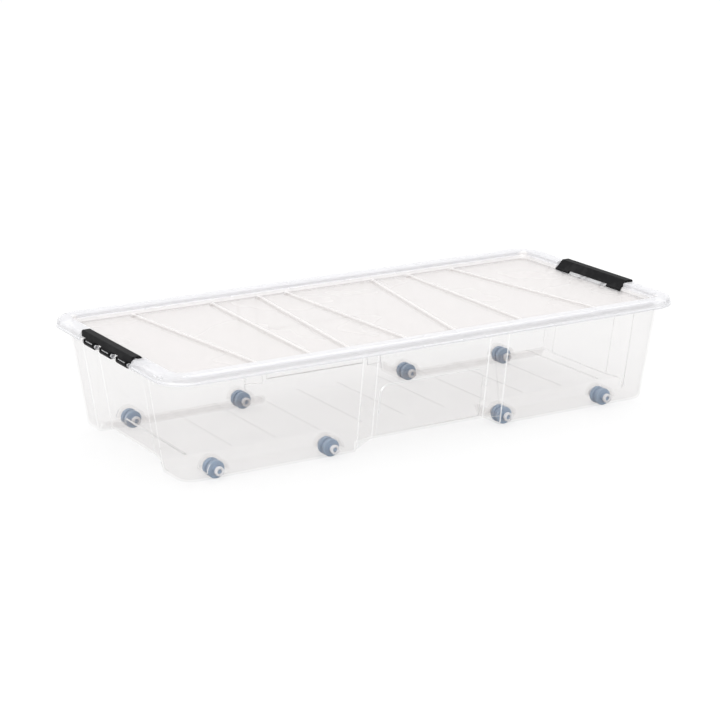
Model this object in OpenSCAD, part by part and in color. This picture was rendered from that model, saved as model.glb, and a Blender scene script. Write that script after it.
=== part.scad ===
// Under bed box: a clear tray on eight wheels, a clear lid and two end clips.
// Origin on the floor under the middle of the box, +X along its length, +Z up.

/* [Overall] */
// Length of the lid over its lip
lid_l = 800; // [740:1:900]
// Width of the lid over its lip
lid_w = 375; // [360:1:440]
// Height of the lid's top above the floor
lid_top = 158; // [140:1:190]

/* [Lid] */
// Thickness of the lid's plastic
lid_t = 2; // [1.6:0.1:2.4]
// Radius of the lid's corners over its lip
lid_corner_r = 43; // [40:1:55]
// Height of the skirt, from the lid's top to its lower edge
skirt_h = 12.2; // [11.5:0.1:14]
// Height of the lip along the skirt's lower edge
lip_h = 3; // [2:0.1:4]
// How far the lip stands out from the skirt
lip_out = 1; // [0.6:0.1:1.4]
// Rounding of the rim's outer edge
rim_round = 5.6; // [4:0.1:6]
// Rounding of the rim's inner edge
inner_round = 3; // [2.5:0.1:3.5]
// Width of the rim, from the lip to its inner wall
rim_w = 23; // [22:0.1:25]
// Depth of the ledge on the inner wall, below the lid's top
ledge_h = 6; // [5:0.1:7]
// Width of that ledge
ledge_w = 2.5; // [2:0.1:3.5]
// How far the wall below the ledge leans in
inner_lean = 1.5; // [0.5:0.1:2.5]
// Depth of the panel below the lid's top
panel_h = 13; // [12.5:0.1:15]
// Width of a ridge at its foot
ridge_w = 15; // [10:0.5:18]
// Width of a ridge's crest
ridge_crest = 2.4; // [1.5:0.1:4]
// Height of a ridge above the panel
ridge_h = 4; // [2:0.1:5]
// Clear gap between the skirt and the tray's rim
skirt_gap = 0.8; // [0.5:0.1:1]
// Clear gap between the lid and the tray's rim below it
seat_gap = 0.3; // [0.2:0.05:0.5]

/* [Tray] */
// Thickness of the walls
wall_t = 2.2; // [1.8:0.1:2.6]
// Thickness of the floor
floor_t = 2.4; // [2:0.1:3]
// How far the lid's lip stands out from the top of the walls
overhang = 11.5; // [11:0.1:12]
// How far the walls lean in from the rim down to the floor
draft = 22; // [14:0.5:24]
// Radius of the walls' corners at the floor
corner_r = 24; // [18:1:24]
// Rounding between the walls and the floor
foot_round = 5; // [4:0.5:7]
// Height of the pods' underside above the floor
pod_clear = 8; // [6:0.5:9]
// How far the pods reach below the middle floor
pod_drop = 13.3; // [12:0.1:16]
// Half the free length between the pods on a long wall
pod_x = 114; // [108:1:116]
// Width of a pod at its underside
pod_w = 54; // [54:1:60]
// How far the pods' inner walls lean towards the middle
pod_lean = 10; // [6:1:14]
// How far the middle of a long wall is set back
side_step = 6; // [4:0.1:6.2]
// Length of the ramp from that set-back to the pod
side_ramp = 26; // [18:1:30]
// How far the middle of an end wall is set back
end_step = 7; // [4:0.1:7.5]
// Length of the ramp on an end wall
end_ramp = 34; // [24:1:36]
// Thickness of the rim
rim_t = 2.5; // [2:0.1:3]
// Height of the rim's turned-down edge
rim_edge_h = 7; // [5:0.5:8]
// Width of the raised panel on a long wall
badge_w = 162; // [120:1:166]
// Height of that panel's top edge above the floor
badge_top = 96; // [70:1:100]
// Rounding of that panel's upper corners
badge_r = 12; // [6:1:16]
// How far that panel stands out from the wall
badge_out = 0.8; // [0.5:0.1:1.2]
// Distance between the ribs on the floor
rib_pitch = 66; // [50:1:90]
// Width of a floor rib
rib_w = 3; // [2:0.5:5]
// Height of a floor rib
rib_h = 1.2; // [0.8:0.1:2]
// Distance of the end gussets from the middle
gusset_y = 116; // [100:1:120]
// Height of an end gusset below the rim
gusset_h = 24; // [16:1:28]

/* [Wheels] */
// Radius of a wheel
wheel_r = 12; // [11:0.5:13]
// Width of a wheel over its two discs
wheel_w = 18; // [16:0.5:19]
// Width of the groove between the discs
groove_w = 4.5; // [3:0.5:6]
// Radius at the bottom of the groove
groove_r = 8.5; // [7:0.5:10]
// Rounding of the discs' edges
tread_round = 1.6; // [1:0.1:2.4]
// Radius of the hub beside a disc
hub_r = 5.2; // [4.5:0.1:6]
// Length of the hub beside a disc
hub_l = 3; // [2:0.5:4]
// Radius of a stub axle
axle_r = 3; // [2.5:0.1:3.5]
// Length of a stub axle
axle_l = 4.6; // [4:0.1:5]
// Distance of the outer wheels from the foot of the end wall
wheel_from_end = 58.5; // [50:0.5:70]
// Distance of the inner wheels from the pods' inner end
wheel_from_pod = 24; // [22:0.5:36]
// Distance of the wheels from the foot of the long wall
wheel_from_side = 31; // [29:0.5:32]
// Gap round a wheel in its well
well_gap = 2; // [1.5:0.1:2.5]
// Thickness of a wheel well's wall
well_t = 2; // [1.6:0.1:2.4]
// Gap beside a hub
hub_gap = 0.3; // [0.2:0.05:0.5]
// Radius of the boss round a stub axle's socket
boss_r = 6; // [5.4:0.1:7]
// Length of that boss
boss_l = 4; // [3.5:0.1:5]
// Running gap round a stub axle and a hinge rod
run_gap = 0.06; // [0.04:0.01:0.09]

/* [Clips] */
// Length of a clip
clip_l = 154; // [140:1:160]
// Thickness of a clip's plates
clip_t = 2.2; // [1.8:0.1:2.6]
// Width of a clip's top plate
clip_top_w = 15.5; // [15:0.1:16.5]
// Gap between a clip and the lid under it
clip_gap = 0.4; // [0.3:0.05:0.6]
// Height of a clip's feet above the lid's panel
clip_foot_gap = 1; // [0.6:0.1:1.5]
// Rounding of a clip's feet
clip_foot_r = 2; // [1.5:0.1:2.4]
// Length of the finger gap between a clip's feet
finger_l = 92; // [70:1:110]
// Height of the finger gap
finger_h = 4; // [3:0.5:6]
// Radius of a hinge rod
rod_r = 2.5; // [2.2:0.1:2.8]
// Distance of a hinge rod below the lid's top
rod_drop = 11; // [10.5:0.1:12]
// Outer radius of a clip's hooks round the rod
hook_r = 4.5; // [4.3:0.1:4.8]
// Length of a hook
hook_l = 30; // [24:1:34]
// Distance between the hooks' middles
hook_pitch = 50; // [46:1:52]
// Height of the slot that shows the rod above a hook
slot_h = 2.6; // [1.5:0.1:3]
// Width of the rod's inner tabs
tab_w = 13; // [10:0.5:14]
// Width of the rod's outer tabs
end_tab_w = 4; // [3:0.5:5]
// Clear gap between a clip's end and the lid's notch
notch_gap = 2.5; // [2:0.1:4]
// Depth of the notch in the lid's rim
notch_d = 9; // [8.5:0.1:9.5]
// Width of the lid's flat seat under a clip
seat_w = 3.6; // [3.2:0.1:4]
// Depth of the lid's front wall under a clip
seat_front_h = 5; // [3:0.1:6]
// How far that seat lies below the lid's top
seat_drop = 1; // [0.8:0.1:1.6]

/* [Hidden] */
$fn = 96;

clear_colour = [0.86, 0.87, 0.88, 0.45];
clip_colour = [0.06, 0.06, 0.07];
wheel_colour = [0.33, 0.38, 0.45];

// A cut reaches this far past the faces that it opens
past = 1;

// Tray: its levels, and the half sizes of its walls at the pods' underside
mid_z = pod_clear + pod_drop;
rim_top = lid_top - lid_t - seat_gap;
rim_z = rim_top - rim_t;
rim_in = lip_out + lid_t + skirt_gap;
rim_cut = rim_round - lid_t - skirt_gap;
slope = draft / (rim_top - pod_clear);
lean = atan(slope);
foot_x = lid_l / 2 - overhang - draft;
foot_y = lid_w / 2 - overhang - draft;
pod_y = foot_y - pod_w;
pod_top_y = pod_y - pod_lean;
foot_steps = 4;

// Lid: its levels, where its panel starts, and the ridges' ends at the far and the near wall
deep = panel_h + lid_t;
panel_z = lid_top - panel_h;
panel_in = rim_w + ledge_w + inner_lean / 4;
ridge_ends = [[-283, -248], [-161, -172], [-86, -117], [-42, -24], [103, 47], [164, 160], [239, 289]];
ridge_y = lid_w / 2 - rim_w - ledge_w;

// Clips: the hinge rods lie level with the lid's outer edge
rod_x = lid_l / 2 - hook_r;
rod_z = lid_top - rod_drop;
rod_l = 2 * hook_pitch + hook_l + 2 * notch_gap + 2 * end_tab_w;
notch_l = clip_l + 2 * notch_gap;
panel_w = rod_drop - panel_h;
top_w = rod_drop + clip_gap;
tab_r = rod_r + run_gap + lid_t / 4;
tab_top = rod_r / 2;
seat_top = rod_drop - seat_drop;
cut_w = panel_w - lid_t;

// Wheels and their wells
hub_w = wheel_w + 2 * hub_l;
axle_w = hub_w + 2 * axle_l;
well_r = wheel_r + well_gap;
well_w = hub_w + 2 * hub_gap;
wheel_x_outer = foot_x - wheel_from_end;
wheel_x_inner = pod_x + wheel_from_pod;
wheel_y = foot_y - wheel_from_side;

// How far a drafted wall stands out at a level, from its place at the pods' underside
function reach(r, z) = r + slope * (z - pod_clear);

// To a hundredth, so that straight runs and round corners meet without a step
function hundredth(v) = round(100 * v) / 100;

// A rectangle with round corners, set in from the lid's outline
module outline(inset) {
    r = lid_corner_r - inset;
    square([lid_l - 2 * inset, lid_w - 2 * lid_corner_r], center = true);
    square([lid_l - 2 * lid_corner_r, lid_w - 2 * inset], center = true);
    for (sx = [-1, 1], sy = [-1, 1])
        translate([sx * (lid_l / 2 - lid_corner_r), sy * (lid_w / 2 - lid_corner_r)]) circle(r);
}

// Lays a drawing made in (across, up) along Y or X, centred
module along_y(len) translate([0, len / 2, 0]) rotate([90, 0, 0]) linear_extrude(len) children();
module along_x(len) rotate([0, 0, 90]) along_y(len) children();

// Both ends, both sides and the four corners, by mirror
module ends() for (m = [0, 1]) mirror([m, 0, 0]) children();
module sides() for (m = [0, 1]) mirror([0, m, 0]) children();

// Half of a drafted section with a rounded foot, from r at the pods' underside up to the rim
module half_section(r, z0) {
    mid = reach(0, z0 + foot_round) - foot_round / cos(lean);
    turn = (90 - lean) / foot_steps;
    foot = [for (i = [0:foot_steps])
        [r + hundredth(mid + foot_round * sin(i * turn)),
         hundredth(z0 + foot_round * (1 - cos(i * turn)))]];
    polygon(concat([[0, z0]], foot, [[r + draft, rim_top], [0, rim_top]]));
}

module whole_section(r, z0) {
    half_section(r, z0);
    mirror([1, 0]) half_section(r, z0);
}

// The drafted form without its set-backs, t inside the outer faces
module envelope(t, z0) {
    along_x(2 * (foot_x - corner_r)) whole_section(foot_y - t, z0);
    along_y(2 * (foot_y - corner_r)) whole_section(foot_x - t, z0);
    ends() sides() translate([foot_x - corner_r, foot_y - corner_r, 0])
        rotate_extrude(angle = 90) half_section(corner_r - t, z0);
}

// What the set-back takes from a wall that faces +Y: a prism that leans with the wall
module set_back(foot, edge, run, step) {
    depth = step * cos(lean);
    wide = edge + past * run / depth;
    translate([0, foot, pod_clear]) rotate([-lean, 0, 0])
        translate([0, 0, -lid_top]) linear_extrude(3 * lid_top)
        polygon([[-wide, past], [run - edge, -depth], [edge - run, -depth], [wide, past]]);
}

// The tray's outer form, or its inside when t is a wall and f a floor
module tub(t, f) {
    difference() {
        envelope(t, pod_clear + f);
        sides() set_back(foot_y - t, pod_x, side_ramp, side_step);
        ends() rotate([0, 0, -90]) set_back(foot_x - t, pod_y, end_ramp, end_step);
        translate([-pod_x - t, -lid_w, -past]) cube([2 * (pod_x + t), 2 * lid_w, mid_z + f + past]);
        along_x(2 * lid_l)
            polygon([[-pod_y - t, -past], [-pod_y - t, pod_clear], [-pod_top_y - t, mid_z + f],
                     [pod_top_y + t, mid_z + f], [pod_y + t, pod_clear], [pod_y + t, -past]]);
    }
}

// Sweeps a section round the lid's outline, all but the gap at both ends.
// The section is drawn from the outline inwards and from the lid's top down.
module around(gap) {
    corner = [lid_l / 2 - lid_corner_r, lid_w / 2 - lid_corner_r];
    run = corner[1] - gap / 2;
    translate([0, 0, lid_top]) {
        sides() translate([0, lid_w / 2, 0]) along_x(2 * corner[0]) mirror([1, 0]) children();
        ends() sides() translate([-lid_l / 2, gap / 2 + run / 2, 0]) along_y(run) children();
        ends() sides() translate([corner[0], corner[1], 0])
            rotate_extrude(angle = 90) translate([lid_corner_r, 0]) mirror([1, 0]) children();
    }
}

// The rim's turned-down edge, its upper corner cut off below the lid's rounding
module rim_edge_section() {
    top = rim_top - lid_top;
    inner = rim_in + 2 * rim_cut;
    polygon([[rim_in, top - rim_edge_h], [rim_in, top - rim_cut], [rim_in + rim_cut, top],
             [inner, top], [inner, top - rim_t],
             [rim_in + wall_t, top - rim_t], [rim_in + wall_t, top - rim_edge_h]]);
}

module tray_rim() {
    translate([0, 0, rim_z]) linear_extrude(rim_t) outline(rim_in + rim_cut);
    around(notch_l) rim_edge_section();
}

// A web under the rim at an end
module gusset() {
    low = rim_top - gusset_h;
    high = rim_z + rim_t / 2;
    edge = lid_l / 2 - rim_in - wall_t / 2;
    along_y(wall_t)
        polygon([[reach(foot_x, low) - wall_t / 2, low], [edge, rim_top - rim_edge_h],
                 [edge, high], [reach(foot_x, rim_z) - wall_t / 2, high]]);
}

// The panel on a long wall, drawn on the wall and laid against it
module badge() {
    low = (foot_round + pod_drop) / cos(lean);
    high = (badge_top - pod_clear) / cos(lean);
    translate([0, foot_y - side_step, pod_clear]) rotate([-lean, 0, 0])
        translate([0, badge_out, 0]) rotate([90, 0, 0]) linear_extrude(badge_out + wall_t / 2) {
            translate([-badge_w / 2, low]) square([badge_w, high - badge_r - low]);
            translate([badge_r - badge_w / 2, low]) square([badge_w - 2 * badge_r, high - low]);
            for (s = [-1, 1]) translate([s * (badge_w / 2 - badge_r), high - badge_r]) circle(badge_r);
        }
}

// The left hinge rod with the tabs that hold it, drawn from its axis inwards
module hinge_rod() {
    wall = rod_x - reach(foot_x, rod_z) + end_step;
    along_y(rod_l) circle(rod_r);
    for (s = [-1, 1]) {
        translate([0, s * hook_pitch / 2, 0]) rod_tab(tab_w, wall);
        translate([0, s * (rod_l - end_tab_w) / 2, 0]) rod_tab(end_tab_w, wall);
    }
}

module rod_tab(w, wall) {
    along_y(w) {
        circle(tab_r);
        polygon([[0, tab_top], [wall + wall_t / 2, cut_w], [wall + wall_t, cut_w - hook_r],
                 [rod_r, -tab_r], [0, -tab_r]]);
    }
}

// A wheel well, w wide and r in radius, open downwards, drawn round the wheel's axis
module well(w, r, low) {
    along_y(w) {
        difference() {
            circle(r);
            translate([-r, -2 * r]) square(2 * r);
        }
        translate([-r, -low]) square([2 * r, low]);
    }
}

module at_wheels() {
    for (x = [wheel_x_outer, wheel_x_inner]) ends() sides() translate([x, wheel_y, wheel_r]) children();
}

module tray() {
    color(clear_colour) difference() {
        union() {
            difference() {
                union() {
                    tub(0, 0);
                    tray_rim();
                    ends() sides() translate([0, gusset_y, 0]) gusset();
                    sides() badge();
                }
                tub(wall_t, floor_t);
                ends() translate([foot_x - end_step, -notch_l / 2 - lid_t - notch_gap / 2, rod_z + cut_w])
                    cube([lid_l, notch_l + 2 * lid_t + notch_gap, lid_top]);
            }
            ends() translate([-rod_x, 0, rod_z]) hinge_rod();
            for (i = [-5:5]) translate([i * rib_pitch, 0, mid_z + floor_t])
                cube([rib_w, 2 * (pod_top_y - wall_t), 2 * rib_h], center = true);
            at_wheels() {
                well(well_w + 2 * well_t, well_r + well_t, wheel_r - pod_clear);
                well(well_w + 2 * (well_t + boss_l), boss_r, wheel_r - pod_clear);
            }
        }
        at_wheels() {
            well(well_w, well_r, wheel_r);
            along_y(axle_w + 2 * hub_gap + 2 * hub_gap) circle(axle_r + run_gap);
        }
    }
}

// The rim's filled section, t inside its skin, drawn from the lip inwards and from the lid's top down
module rim_fill(t) {
    translate([lip_out + rim_round, -rim_round]) circle(rim_round - t);
    translate([rim_w - inner_round, -inner_round]) circle(inner_round - t);
    polygon([[lip_out + t, -deep], [lip_out + t, -rim_round], [lip_out + rim_round, -rim_round],
             [lip_out + rim_round, -t], [rim_w - inner_round, -t], [rim_w - inner_round, -inner_round],
             [rim_w - t, -inner_round], [rim_w - t, -ledge_h - t], [rim_w + ledge_w - t, -ledge_h - t],
             [rim_w + ledge_w + inner_lean - t, -deep]]);
}

module rim_section() {
    difference() {
        rim_fill(0);
        rim_fill(lid_t);
        translate([0, -2 * deep]) square([rim_w / 2, 2 * deep - skirt_h]);
    }
    translate([0, -skirt_h]) square([lip_out + lid_t, lip_h]);
}

// Closes the rim beside a clip
module rim_web() {
    intersection() {
        rim_fill(0);
        translate([0, tab_top + clip_gap - rod_drop]) square([lid_l, deep]);
    }
}

// The lid's sloped seat under a clip, drawn from the rod's axis inwards
module seat_section() {
    front = notch_d - hook_r;
    edge = front + seat_w;
    foot = edge + seat_top - panel_w;
    skin = lid_t * sqrt(2);
    polygon([[front, seat_top - seat_front_h], [front, seat_top], [edge, seat_top], [foot, panel_w],
             [foot + 2 * lid_t, panel_w], [foot + 2 * lid_t, panel_w - lid_t],
             [foot + lid_t - skin, panel_w - lid_t], [edge + lid_t - skin, seat_top - lid_t],
             [front + lid_t, seat_top - lid_t], [front + lid_t, seat_top - seat_front_h]]);
}

module ridge_section() {
    polygon([[-ridge_w / 2, 0], [-ridge_crest / 2, ridge_h], [ridge_crest / 2, ridge_h], [ridge_w / 2, 0]]);
}

// All the ridges, from wall to wall, their feet at level z
module ridges(z) {
    for (e = ridge_ends) {
        run = e[0] - e[1];
        translate([(e[0] + e[1]) / 2, 0, z]) rotate([0, 0, -atan(run / (2 * ridge_y))])
            along_y(2.2 * ridge_y) ridge_section();
    }
}

module lid() {
    color(clear_colour) {
        around(notch_l) rim_section();
        ends() sides() translate([-lid_l / 2, (notch_l + lid_t) / 2, lid_top]) along_y(lid_t) rim_web();
        ends() translate([-rod_x, 0, rod_z]) along_y(notch_l + lid_t) seat_section();
        difference() {
            union() {
                translate([0, 0, panel_z - lid_t]) linear_extrude(lid_t) outline(panel_in);
                intersection() {
                    ridges(panel_z - lid_t / 2);
                    translate([0, 0, panel_z - lid_t]) linear_extrude(deep) outline(panel_in);
                }
            }
            intersection() {
                ridges(panel_z - lid_t);
                translate([0, 0, panel_z - deep]) linear_extrude(2 * deep) outline(panel_in + 2 * lid_t);
            }
        }
    }
}

// A clip's section, drawn from the rod's axis inwards
module clip_section() {
    inner = clip_top_w - hook_r;
    half = clip_t / sqrt(8);
    foot_w = panel_w + clip_foot_gap + clip_foot_r;
    foot_u = inner + top_w + clip_t - clip_t / sqrt(2) - foot_w;
    low = hook_r + clip_gap;
    translate([-hook_r, low]) square([clip_t, top_w - low]);
    translate([clip_t - hook_r, top_w]) {
        square([clip_top_w - clip_t, clip_t]);
        circle(clip_t);
    }
    polygon([[inner, top_w + clip_t], [inner + clip_t * (1 - sqrt(2)), top_w],
             [foot_u - half, foot_w - half], [foot_u + half, foot_w + half]]);
    translate([foot_u, foot_w]) circle(clip_foot_r);
}

module clip() {
    finger_w = panel_w + clip_foot_gap + finger_h;
    hook_z = [for (i = [-1:1]) clip_l / 2 + i * hook_pitch - hook_l / 2];
    rotate([90, 0, 0]) translate([0, 0, -clip_l / 2]) difference() {
        union() {
            linear_extrude(clip_l) clip_section();
            for (z = hook_z) translate([0, 0, z]) linear_extrude(hook_l) {
                circle(hook_r);
                translate([-hook_r, 0]) square([clip_t, hook_r + 2 * clip_gap]);
            }
        }
        translate([0, 0, -past]) cylinder(r = rod_r + run_gap, h = clip_l + 2 * past);
        for (z = hook_z) translate([-2 * hook_r, rod_r / 2, z + clip_t])
            cube([2 * hook_r, slot_h, hook_l - 2 * clip_t]);
        translate([rod_drop, finger_w - deep, (clip_l - finger_l) / 2]) cube([lid_l, deep, finger_l]);
    }
}

module clip_left() color(clip_colour) translate([-rod_x, 0, rod_z]) clip();
module clip_right() color(clip_colour) mirror([1, 0, 0]) translate([-rod_x, 0, rod_z]) clip();

// A spool wheel with its stub axles, on its own axis
module wheel(x, y) {
    disc_w = (wheel_w - groove_w) / 2;
    color(wheel_colour) translate([x, y, wheel_r]) rotate([90, 0, 0]) rotate_extrude() {
        translate([0, -axle_w / 2]) square([axle_r, axle_w]);
        translate([0, -hub_w / 2]) square([hub_r, hub_w]);
        translate([0, -wheel_w / 2]) square([groove_r, wheel_w]);
        for (s = [-1, 1]) translate([0, s * (groove_w + disc_w) / 2]) {
            translate([0, -disc_w / 2]) square([wheel_r - tread_round, disc_w]);
            translate([0, tread_round - disc_w / 2]) square([wheel_r, disc_w - 2 * tread_round]);
            for (e = [-1, 1])
                translate([wheel_r - tread_round, e * (disc_w / 2 - tread_round)]) circle(tread_round);
        }
    }
}

module wheel_left_near_outer() wheel(-wheel_x_outer, -wheel_y);
module wheel_left_near_inner() wheel(-wheel_x_inner, -wheel_y);
module wheel_right_near_inner() wheel(wheel_x_inner, -wheel_y);
module wheel_right_near_outer() wheel(wheel_x_outer, -wheel_y);
module wheel_left_far_outer() wheel(-wheel_x_outer, wheel_y);
module wheel_left_far_inner() wheel(-wheel_x_inner, wheel_y);
module wheel_right_far_inner() wheel(wheel_x_inner, wheel_y);
module wheel_right_far_outer() wheel(wheel_x_outer, wheel_y);

tray();
lid();
clip_left();
clip_right();
wheel_left_near_outer();
wheel_left_near_inner();
wheel_right_near_inner();
wheel_right_near_outer();
wheel_left_far_outer();
wheel_left_far_inner();
wheel_right_far_inner();
wheel_right_far_outer();
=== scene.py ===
import math
import bpy
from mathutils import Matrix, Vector


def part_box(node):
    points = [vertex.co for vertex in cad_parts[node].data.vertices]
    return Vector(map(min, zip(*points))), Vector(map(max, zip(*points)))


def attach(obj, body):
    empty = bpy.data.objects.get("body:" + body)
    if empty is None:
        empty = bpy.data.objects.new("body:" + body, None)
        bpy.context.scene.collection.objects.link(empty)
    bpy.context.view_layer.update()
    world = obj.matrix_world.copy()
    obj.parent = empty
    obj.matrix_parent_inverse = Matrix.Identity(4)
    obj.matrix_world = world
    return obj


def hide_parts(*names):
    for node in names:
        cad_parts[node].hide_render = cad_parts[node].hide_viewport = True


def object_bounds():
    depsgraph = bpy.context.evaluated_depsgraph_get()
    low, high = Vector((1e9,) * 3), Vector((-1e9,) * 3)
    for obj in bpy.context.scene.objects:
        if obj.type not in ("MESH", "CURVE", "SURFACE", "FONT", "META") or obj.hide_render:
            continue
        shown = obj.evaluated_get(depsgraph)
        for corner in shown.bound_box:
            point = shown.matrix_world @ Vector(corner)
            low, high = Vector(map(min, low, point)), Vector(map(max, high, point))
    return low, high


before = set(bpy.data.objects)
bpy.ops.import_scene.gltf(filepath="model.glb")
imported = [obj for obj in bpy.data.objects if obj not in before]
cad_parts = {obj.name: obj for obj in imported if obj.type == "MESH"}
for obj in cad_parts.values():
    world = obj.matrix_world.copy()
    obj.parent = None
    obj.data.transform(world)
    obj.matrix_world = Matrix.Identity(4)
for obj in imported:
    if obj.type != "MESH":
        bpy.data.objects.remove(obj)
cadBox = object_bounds()
scene = bpy.context.scene
scene.view_settings.view_transform = "Standard"
scene.cycles.transparent_max_bounces = 40  # a ray crosses many clear walls here
print("frame loaded:", len(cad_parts), "nodes")


# view, floor and light

cameraPlace = {
    "target": (0.123, 0.233, 0.004), "azimuth": -31.01, "elevation": 16.0,
    "distance": 3.239, "lens": 106.85, "sensor": 36.0, "shiftX": 0.0014, "farClip": 50,
}
floorPaper = {"size": 30, "colour": (0.3, 0.3, 0.3), "roughness": 0.9, "ownGlow": 0.67}
studioWorld = {"colour": (1, 1, 1), "level": 1.0}
softboxes = {
    "overhead": {"place": (0.9, 0.7, 2.0), "aim": (0, 0, 0.1), "size": (2.0, 1.6), "energy": 8},
    "frontFill": {"place": (-1.6, -1.8, 1.2), "aim": (0, 0, 0.1), "size": (3.2, 2.2), "energy": 27},
}


def addCamera(place):
    az = math.radians(place["azimuth"])
    el = math.radians(place["elevation"])
    back = (math.sin(az) * math.cos(el), -math.cos(az) * math.cos(el), math.sin(el))
    data = bpy.data.cameras.new("photoCamera")
    data.lens = place["lens"]
    data.sensor_width = place["sensor"]
    data.shift_x = place["shiftX"]
    data.clip_end = place["farClip"]
    camera = bpy.data.objects.new("photoCamera", data)
    camera.location = [t + b * place["distance"] for t, b in zip(place["target"], back)]
    camera.rotation_euler = (math.pi / 2 - el, 0, az)
    scene.collection.objects.link(camera)
    scene.camera = camera


class Nodes:
    # shorthand for wiring one node tree
    mixFirst, mixSecond, mixResult = 6, 7, 2  # a Mix node's colour sockets, whose names aren't unique

    def __init__(self, tree):
        self.tree = tree

    def add(self, kind, **settings):
        node = self.tree.nodes.new("ShaderNode" + kind)
        for name, value in settings.items():
            setattr(node, name, value)
        return node

    def feed(self, socket, value):
        if isinstance(value, bpy.types.NodeSocket):
            self.tree.links.new(value, socket)
        else:
            socket.default_value = value

    def math(self, how, first, second=0.0, clamp=False):
        node = self.add("Math", operation=how, use_clamp=clamp)
        self.feed(node.inputs[0], first)
        self.feed(node.inputs[1], second)
        return node.outputs[0]

    def scaled(self, value, gain, start):
        node = self.add("Math", operation="MULTIPLY_ADD")
        self.feed(node.inputs[0], value)
        node.inputs[1].default_value = gain
        node.inputs[2].default_value = start
        return node.outputs[0]

    def ramp(self, value, low, high):
        node = self.add("MapRange", interpolation_type="SMOOTHSTEP")
        self.feed(node.inputs["Value"], value)
        node.inputs["From Min"].default_value = low
        node.inputs["From Max"].default_value = high
        return node.outputs["Result"]

    def blend(self, factor, first, second):
        node = self.add("Mix", data_type="RGBA")
        self.feed(node.inputs["Factor"], factor)
        for place, colour in ((self.mixFirst, first), (self.mixSecond, second)):
            wired = isinstance(colour, bpy.types.NodeSocket)
            self.feed(node.inputs[place], colour if wired else (*colour, 1))
        return node.outputs[self.mixResult]

    def noise(self, where, scale, detail, stretch=None):
        if stretch:
            mapping = self.add("Mapping")
            mapping.inputs["Scale"].default_value = stretch
            self.feed(mapping.inputs["Vector"], where)
            where = mapping.outputs["Vector"]
        node = self.add("TexNoise")
        self.feed(node.inputs["Vector"], where)
        node.inputs["Scale"].default_value = scale
        node.inputs["Detail"].default_value = detail
        return node.outputs["Fac"]

    def bump(self, height, strength, depth):
        node = self.add("Bump")
        node.inputs["Strength"].default_value = strength
        node.inputs["Distance"].default_value = depth
        self.feed(node.inputs["Height"], height)
        return node.outputs["Normal"]

    def seenRay(self):
        # one for what the camera sees, straight or in a shiny face, and none for diffuse light
        path = self.add("LightPath")
        shiny = self.math("MAXIMUM", path.outputs["Is Glossy Ray"], path.outputs["Is Transmission Ray"])
        return self.math("MAXIMUM", path.outputs["Is Camera Ray"], shiny)


def newMaterial(name):
    material = bpy.data.materials.new(name)
    material.use_nodes = True
    return material, Nodes(material.node_tree), material.node_tree.nodes["Principled BSDF"]


def addFloor(look):
    bpy.ops.object.select_all(action="DESELECT")
    bpy.ops.mesh.primitive_plane_add(size=look["size"])
    floor = bpy.context.active_object
    floor.name = "floor"
    material, wire, shader = newMaterial("floorPaper")
    shader.inputs["Base Color"].default_value = (*look["colour"], 1)
    shader.inputs["Roughness"].default_value = look["roughness"]
    shader.inputs["Emission Color"].default_value = (1, 1, 1, 1)
    wire.feed(shader.inputs["Emission Strength"], wire.math("MULTIPLY", wire.seenRay(), look["ownGlow"]))
    floor.data.materials.append(material)


def addWorld(look):
    scene.world = bpy.data.worlds.new("studioWorld")
    scene.world.use_nodes = True
    back = scene.world.node_tree.nodes["Background"]
    back.inputs["Color"].default_value = (*look["colour"], 1)
    back.inputs["Strength"].default_value = look["level"]


def addSoftbox(name, look):
    data = bpy.data.lights.new(name, "AREA")
    data.shape = "RECTANGLE"
    data.size, data.size_y = look["size"]
    data.energy = look["energy"]
    lamp = bpy.data.objects.new(name, data)
    lamp.location = look["place"]
    beam = Vector(look["aim"]) - Vector(look["place"])
    lamp.rotation_euler = beam.to_track_quat("-Z", "Y").to_euler()
    scene.collection.objects.link(lamp)


addCamera(cameraPlace)
addFloor(floorPaper)
addWorld(studioWorld)
for boxName, boxLook in softboxes.items():
    addSoftbox(boxName, boxLook)
print("view, floor and light are set")


# materials

clearLook = {
    "falloff": 3.0, "roughness": (0.2, 0.34), "deepen": 0.97,
    "flowScale": 7, "flowDetail": 2, "flowStretch": (1, 1, 4),
    "rippleScale": 25, "rippleDetail": 2, "rippleDepth": 0.0005, "rippleStrength": 0.003,
}
trayLook = {"alpha": 0.042, "cloud": 0.014, "grazing": 0.06, "colour": (0.55, 0.485, 0.465)}
# the tray's rounded edges are white and more opaque: a painted highlight along each edge, while the metallic
# part reflects the surroundings for real
trayEdgeHighlightLook = {"alpha": 0.72, "cloud": 0.1, "grazing": 0.1, "colour": (0.99, 0.99, 0.99), "mirror": 0.95}
collarLook = {"alpha": 0.85, "cloud": 0.1, "grazing": 0.1, "colour": (0.97, 0.975, 1.0)}
lidLook = {
    "alpha": 0.28, "cloud": 0.012, "grazing": 0.3, "colour": (0.79, 0.75, 0.74),
    "rimColour": (0.93, 0.93, 0.955), "rimWidth": 0.0235, "rimFade": 0.003, "rimAlpha": 0.12,
    # painted shade on the ridges' tilted flanks and a painted highlight on their crests
    "flankShadeColour": (0.64, 0.60, 0.585), "flankShadeAlpha": 0.1, "flankTilt": (0.96, 0.88),
    "crestHighlightColour": (0.95, 0.93, 0.925), "crestHighlightAlpha": 0.36,
    "ridgeTop": 0.0100, "ridgeFoot": 0.0115,  # both below the lid's top
}
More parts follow.
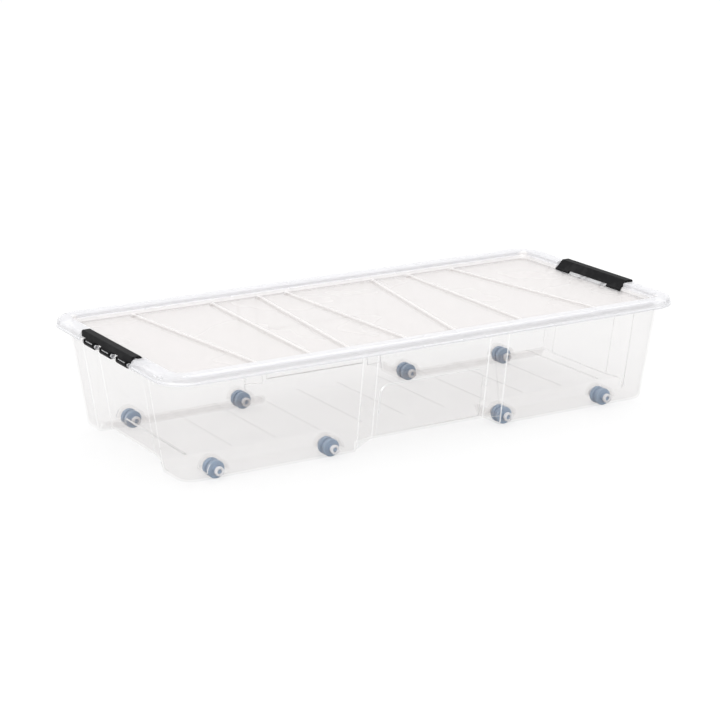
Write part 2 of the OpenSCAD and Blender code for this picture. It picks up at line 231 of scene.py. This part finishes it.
# the lid's rounded edges: a whiter, more opaque rim colour paints a highlight along them, while the metallic
# part reflects the surroundings for real
lidEdgeHighlightLook = dict(lidLook, rimColour=(0.97, 0.975, 1.0), rimAlpha=0.4, mirror=0.6)
mouldedLook = {"grainDetail": 3, "grainsPerPatch": 12, "patchDetail": 2, "patchRange": (0.4, 0.75)}
clipLook = {
    "colour": (0.008, 0.008, 0.009), "pale": (0.02, 0.02, 0.021), "roughness": (0.48, 0.66),
    "specular": 0.08, "grainScale": 900, "grainDepth": 0.0001, "grainStrength": 0.35,
}
wheelLook = {
    "colour": (0.32, 0.43, 0.57), "pale": (0.38, 0.49, 0.63), "roughness": (0.3, 0.5),
    "specular": 0.4, "grainScale": 260, "grainDepth": 0.0001, "grainStrength": 0.2,
}


def clearPlastic(name, look, shape=None):
    # milky clear plastic: its faces are see-through, and less so where they are seen edge on
    material, wire, shader = newMaterial(name)
    where = wire.add("TexCoord").outputs["Object"]
    flow = wire.noise(where, clearLook["flowScale"], clearLook["flowDetail"], clearLook["flowStretch"])
    glance = wire.math("POWER", wire.add("LayerWeight").outputs["Facing"], clearLook["falloff"])
    alpha = wire.scaled(flow, look["cloud"], look["alpha"])
    alpha = wire.math("ADD", alpha, wire.math("MULTIPLY", glance, look["grazing"]), True)
    if shape:
        colour, extra = shape(wire, where, look)
        alpha = wire.math("ADD", alpha, extra, True)
    else:
        deeper = [c * clearLook["deepen"] for c in look["colour"]]
        colour = wire.blend(flow, look["colour"], deeper)
    wire.feed(shader.inputs["Alpha"], alpha)
    wire.feed(shader.inputs["Base Color"], colour)
    shader.inputs["Metallic"].default_value = look.get("mirror", 0.0)  # an edge mirrors its surroundings
    low, high = clearLook["roughness"]
    wire.feed(shader.inputs["Roughness"], wire.scaled(flow, high - low, low))
    ripple = wire.noise(where, clearLook["rippleScale"], clearLook["rippleDetail"])
    ripple = wire.bump(ripple, clearLook["rippleStrength"], clearLook["rippleDepth"])
    wire.feed(shader.inputs["Normal"], ripple)
    return material


def lidShape(wire, where, look):
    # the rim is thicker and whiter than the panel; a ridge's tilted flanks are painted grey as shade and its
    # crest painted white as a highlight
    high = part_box("lid")[1]
    place = wire.add("SeparateXYZ")
    wire.feed(place.inputs[0], where)
    sides = []
    for axis, reach in (("X", high.x), ("Y", high.y)):
        inner = reach - look["rimWidth"]
        away = wire.math("ABSOLUTE", place.outputs[axis])
        sides.append(wire.ramp(away, inner - look["rimFade"], inner))
    rim = wire.math("MAXIMUM", *sides)
    tilt = wire.add("SeparateXYZ")
    wire.feed(tilt.inputs[0], wire.add("NewGeometry").outputs["Normal"])
    panel = wire.math("SUBTRACT", 1.0, rim)
    # painted shade: panel faces that tilt away from level are made greyer and more opaque
    shadedFlank = wire.ramp(wire.math("ABSOLUTE", tilt.outputs["Z"]), *look["flankTilt"])
    shadedFlank = wire.math("MULTIPLY", panel, shadedFlank)
    # painted highlight: the top of each ridge is made whiter and more opaque
    crestHighlight = wire.ramp(place.outputs["Z"], high.z - look["ridgeFoot"], high.z - look["ridgeTop"])
    crestHighlight = wire.math("MULTIPLY", panel, crestHighlight)
    colour = wire.blend(shadedFlank, look["colour"], look["flankShadeColour"])
    colour = wire.blend(crestHighlight, colour, look["crestHighlightColour"])
    colour = wire.blend(rim, colour, look["rimColour"])
    extra = wire.math("MULTIPLY", rim, look["rimAlpha"])
    for part, gain in ((shadedFlank, "flankShadeAlpha"), (crestHighlight, "crestHighlightAlpha")):
        extra = wire.math("ADD", extra, wire.math("MULTIPLY", part, look[gain]))
    return colour, extra


def mouldedPlastic(name, look):
    # solid plastic with a fine grain and slightly paler patches
    material, wire, shader = newMaterial(name)
    where = wire.add("TexCoord").outputs["Object"]
    grain = wire.noise(where, look["grainScale"], mouldedLook["grainDetail"])
    patchScale = look["grainScale"] / mouldedLook["grainsPerPatch"]
    patches = wire.noise(where, patchScale, mouldedLook["patchDetail"])
    colour = wire.blend(wire.ramp(patches, *mouldedLook["patchRange"]), look["colour"], look["pale"])
    wire.feed(shader.inputs["Base Color"], colour)
    low, high = look["roughness"]
    wire.feed(shader.inputs["Roughness"], wire.scaled(patches, high - low, low))
    wire.feed(shader.inputs["Normal"], wire.bump(grain, look["grainStrength"], look["grainDepth"]))
    shader.inputs["Specular IOR Level"].default_value = look["specular"]
    return material


trayPlastic = clearPlastic("trayPlastic", trayLook)
trayEdgeHighlight = clearPlastic("trayEdgeHighlight", trayEdgeHighlightLook)
collarPlastic = clearPlastic("collarPlastic", collarLook)
lidPlastic = clearPlastic("lidPlastic", lidLook, lidShape)
lidEdgeHighlight = clearPlastic("lidEdgeHighlight", lidEdgeHighlightLook, lidShape)
clipPlastic = mouldedPlastic("clipPlastic", clipLook)
wheelPlastic = mouldedPlastic("wheelPlastic", wheelLook)
print("materials are mixed")


# wheels keep their own shape

wheelNames = sorted(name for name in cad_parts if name.startswith("wheel"))
for wheelName in wheelNames:
    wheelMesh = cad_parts[wheelName].data
    wheelMesh.materials.clear()
    wheelMesh.materials.append(wheelPlastic)
axles = [(low + high) / 2 for low, high in map(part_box, wheelNames)]
print(len(wheelNames), "wheels are dressed")


# tray, lid and clips get their moulded edges

mouldEdges = {"merge": 0.00001, "flat": 1.0, "sharp": 11, "foot": (17, 24), "smooth": 30}  # angles in degrees
trayMould = {
    "slot": "clear_plastic", "round": 0.0009, "segments": 2, "lidCovers": 0.144, "socket": 0.0035,
    "innerShare": 0.8, "outward": -0.1,
}
lidMould = {"slot": "clear_plastic", "round": 0.0006, "segments": 2}
hingeRods = {"x": 0.3955, "z": 0.147, "reach": 0.0028}
clipMould = {
    "slot": "clip_plastic", "round": 0.0005, "segments": 3,
    "inward": 0.0035,
    "tuckFrom": 0.00445, "tuckFull": 0.0049,  # heights above the rod's middle
}


def useAlone(piece):
    bpy.ops.object.select_all(action="DESELECT")
    piece.select_set(True)
    bpy.context.view_layer.objects.active = piece


def applyModifier(piece, name, kind, **settings):
    modifier = piece.modifiers.new(name, kind)
    for setting, value in settings.items():
        setattr(modifier, setting, value)
    bpy.ops.object.modifier_apply(modifier=modifier.name)


def edgeAngles(mesh):
    # the turn between the two faces at each edge, in degrees
    normals = {}
    for face in mesh.polygons:
        for key in face.edge_keys:
            normals.setdefault(key, []).append(face.normal.copy())
    for edge in mesh.edges:
        pair = normals.get(edge.key, [])
        yield edge.index, math.degrees(pair[0].angle(pair[1])) if len(pair) == 2 else 0.0


def keepsFit(place, mould):
    # edges that run close to another piece stay as they are
    if place.z > mould.get("lidCovers", place.z):
        return True
    reach = mould.get("socket", 0)
    return any(math.hypot(place.x - axle.x, place.z - axle.z) < reach for axle in axles)


def roundEdges(piece, mould):
    mesh = piece.data
    weights = mesh.attributes.new("bevel_weight_edge", "FLOAT", "EDGE")
    stepLow, stepHigh = mouldEdges["foot"]  # the steps of a rounded foot stay one smooth curve
    for index, angle in edgeAngles(mesh):
        if angle > mouldEdges["sharp"] and not stepLow < angle < stepHigh:
            first, second = (mesh.vertices[v].co for v in mesh.edges[index].vertices)
            weights.data[index].value = 0.0 if keepsFit((first + second) / 2, mould) else 1.0
    # the rounded faces take the piece's last material, which for the tray and the lid paints a highlight
    # along the edges
    applyModifier(piece, "softEdges", "BEVEL", width=mould["round"], segments=mould["segments"],
                  limit_method="WEIGHT", use_clamp_overlap=False, material=len(mesh.materials) - 1)


def plainInside(piece, mould):
    # only the edges on the outer side keep their painted highlight: those of the floor and the inner walls
    # are plain
    plain = piece.data.materials.find(trayPlastic.name)
    for face in piece.data.polygons:
        outward = Vector((face.center.x / cadBox[1][0], face.center.y / cadBox[1][1], 0))
        deep = max(abs(outward.x), abs(outward.y)) < mould["innerShare"]
        if deep or face.normal.dot(outward) < mould["outward"]:
            face.material_index = plain


def whitenRods(piece, rods):
    # the clips' rods are solid, so they look milky in the hooks' slots
    milky = piece.data.materials.find(collarPlastic.name)
    for face in piece.data.polygons:
        if math.hypot(abs(face.center.x) - rods["x"], face.center.z - rods["z"]) < rods["reach"]:
            face.material_index = milky


def keepInside(piece, nodeName):
    # no rounded edge reaches past the box of its own node
    low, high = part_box(nodeName)
    for vertex in piece.data.vertices:
        vertex.co = [min(max(c, a), b) for c, a, b in zip(vertex.co, low, high)]


def tuckFront(piece, rods, mould):
    # a clip's front plate stands a little inside its hooks, so the hooks show below it
    for vertex in piece.data.vertices:
        height = vertex.co.z - rods["z"]
        share = (height - mould["tuckFrom"]) / (mould["tuckFull"] - mould["tuckFrom"])
        share = min(max(share, 0), 1)
        if abs(vertex.co.x) > rods["x"]:
            vertex.co.x -= math.copysign(share * mould["inward"], vertex.co.x)


def mouldedCopy(nodeName, pieceName, mould, materials):
    piece = bpy.data.objects.new(pieceName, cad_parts[nodeName].data.copy())
    scene.collection.objects.link(piece)
    piece.data.materials.clear()
    for material in materials:
        piece.data.materials.append(material)
    useAlone(piece)
    bpy.ops.object.mode_set(mode="EDIT")
    bpy.ops.mesh.select_all(action="SELECT")
    bpy.ops.mesh.remove_doubles(threshold=mouldEdges["merge"])
    bpy.ops.mesh.dissolve_limited(angle_limit=math.radians(mouldEdges["flat"]))
    bpy.ops.object.mode_set(mode="OBJECT")
    roundEdges(piece, mould)
    keepInside(piece, nodeName)
    if "inward" in mould:
        tuckFront(piece, hingeRods, mould)
    bpy.ops.object.shade_smooth_by_angle(angle=math.radians(mouldEdges["smooth"]))
    applyModifier(piece, "evenShade", "WEIGHTED_NORMAL", keep_sharp=True)
    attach(piece, nodeName)
    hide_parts(nodeName)
    print(pieceName, "has", len(piece.data.polygons), "faces")
    return piece


clearTray = mouldedCopy("tray", "clearTray", trayMould, [trayPlastic, collarPlastic, trayEdgeHighlight])
plainInside(clearTray, trayMould)
whitenRods(clearTray, hingeRods)
mouldedCopy("lid", "clearLid", lidMould, [lidPlastic, lidEdgeHighlight])
for clipName, pieceName in (("clip_left", "leftClip"), ("clip_right", "rightClip")):
    mouldedCopy(clipName, pieceName, clipMould, [clipPlastic])
print("tray, lid and clips are moulded")


# milky collars round the axle ends

axleCollar = {
    "slot": "clear_plastic", "outer": 0.0064, "hole": 0.0033, "depth": 0.0043, "beside": 0.0143,
    "sides": 40, "round": 0.0004, "segments": 2, "sharp": 40, "endFacing": 0.9,
}


def makeCollar(mould):
    # a short tube with rounded ends, lying along the axle
    bpy.ops.object.select_all(action="DESELECT")
    bpy.ops.mesh.primitive_cylinder_add(vertices=mould["sides"], radius=mould["outer"], depth=mould["depth"],
                                        rotation=(math.pi / 2, 0, 0))
    bpy.ops.object.transform_apply(rotation=True)
    collar = bpy.context.active_object
    bpy.ops.object.mode_set(mode="EDIT")
    bpy.ops.mesh.select_mode(type="FACE")
    bpy.ops.mesh.select_all(action="DESELECT")
    bpy.ops.object.mode_set(mode="OBJECT")
    for face in collar.data.polygons:
        face.select = abs(face.normal.y) > mould["endFacing"]
    bpy.ops.object.mode_set(mode="EDIT")
    bpy.ops.mesh.inset(thickness=mould["outer"] - mould["hole"], use_individual=True)
    bpy.ops.mesh.delete(type="ONLY_FACE")
    bpy.ops.mesh.select_mode(type="EDGE")
    bpy.ops.mesh.select_all(action="DESELECT")
    bpy.ops.mesh.select_non_manifold()
    bpy.ops.mesh.bridge_edge_loops()
    bpy.ops.mesh.select_all(action="SELECT")
    bpy.ops.mesh.normals_make_consistent(inside=False)
    bpy.ops.object.mode_set(mode="OBJECT")
    sharp = math.radians(mould["sharp"])
    applyModifier(collar, "softEdges", "BEVEL", width=mould["round"], segments=mould["segments"],
                  angle_limit=sharp)
    bpy.ops.object.shade_smooth_by_angle(angle=sharp)
    collar.data.materials.append(collarPlastic)
    return collar


def addCollars(mould):
    first = makeCollar(mould)
    copies = []
    offset = mould["beside"] + mould["depth"] / 2
    for axle in axles:
        for side in (-1, 1):
            copy = bpy.data.objects.new("collarCopy", first.data.copy())
            scene.collection.objects.link(copy)
            copy.location = axle + Vector((0, side * offset, 0))
            copies.append(copy)
    bpy.data.objects.remove(first)
    bpy.ops.object.select_all(action="DESELECT")
    for copy in copies:
        copy.select_set(True)
    bpy.context.view_layer.objects.active = copies[0]
    bpy.ops.object.transform_apply(location=True)
    bpy.ops.object.join()
    collars = bpy.context.active_object
    collars.name = "axleCollars"
    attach(collars, "tray")
    print(len(copies), "axle collars are set")


addCollars(axleCollar)
